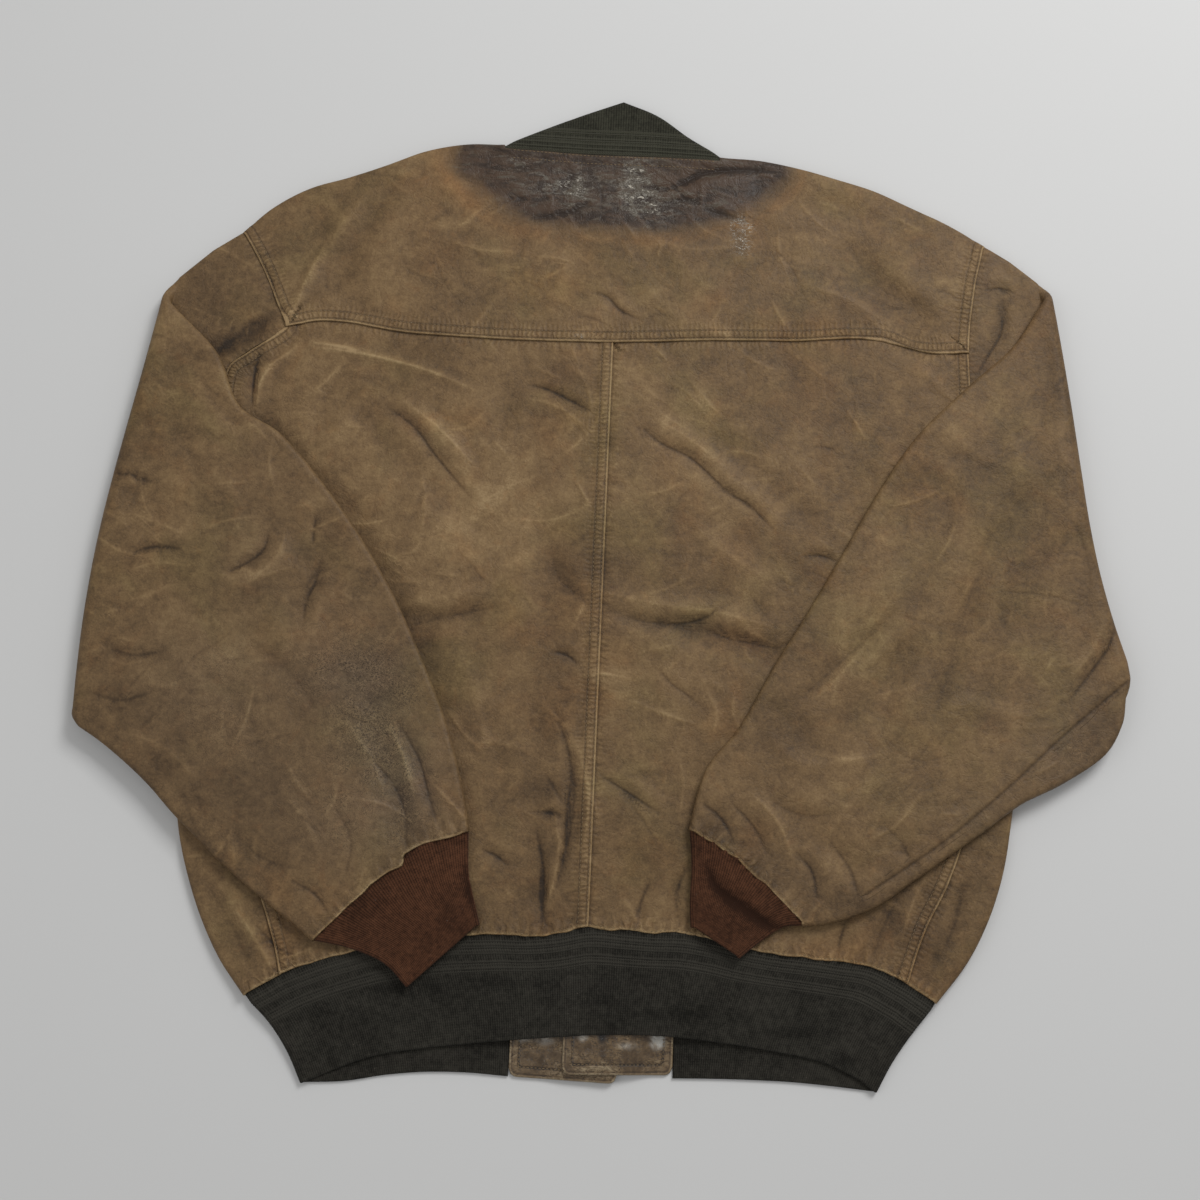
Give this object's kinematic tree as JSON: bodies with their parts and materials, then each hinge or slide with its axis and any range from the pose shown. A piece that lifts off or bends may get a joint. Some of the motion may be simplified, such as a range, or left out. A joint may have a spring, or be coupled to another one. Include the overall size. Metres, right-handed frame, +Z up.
{
  "type": "worn leather blouson jacket",
  "caption": "Worn leather blouson lying face down, sleeves folded inward over its back, with ribbed knit collar, cuffs and waistband and buttoned leather waist tabs.",
  "frame": {"origin": "on the surface below, at the middle of the jacket's overall length and width", "axes": "+Y to the collar, +X to the wearer's right arm, +Z up from the surface, out of the jacket's back"},
  "size_m": [0.7818, 0.7679, 0.0181],
  "materials": {
    "leather": "worn, matt, olive brown",
    "tab_leather": "rubbed to a gloss, dark brown",
    "knit": "matt wool rib, dark olive",
    "cuff_knit": "matt wool rib, rust brown",
    "button": "dull dark brown"
  },
  "bodies": {
    "root": {"back_yoke": "leather", "back_left": "leather", "back_right": "leather", "front_left": "leather", "front_right": "leather", "sleeve_left": "leather", "sleeve_right": "leather", "collar": "knit", "cuff_left": "cuff_knit", "cuff_right": "cuff_knit", "waistband": "knit", "waist_tab_left": "tab_leather", "waist_tab_right": "tab_leather", "waist_button": "button"}
  },
  "joints": []
}
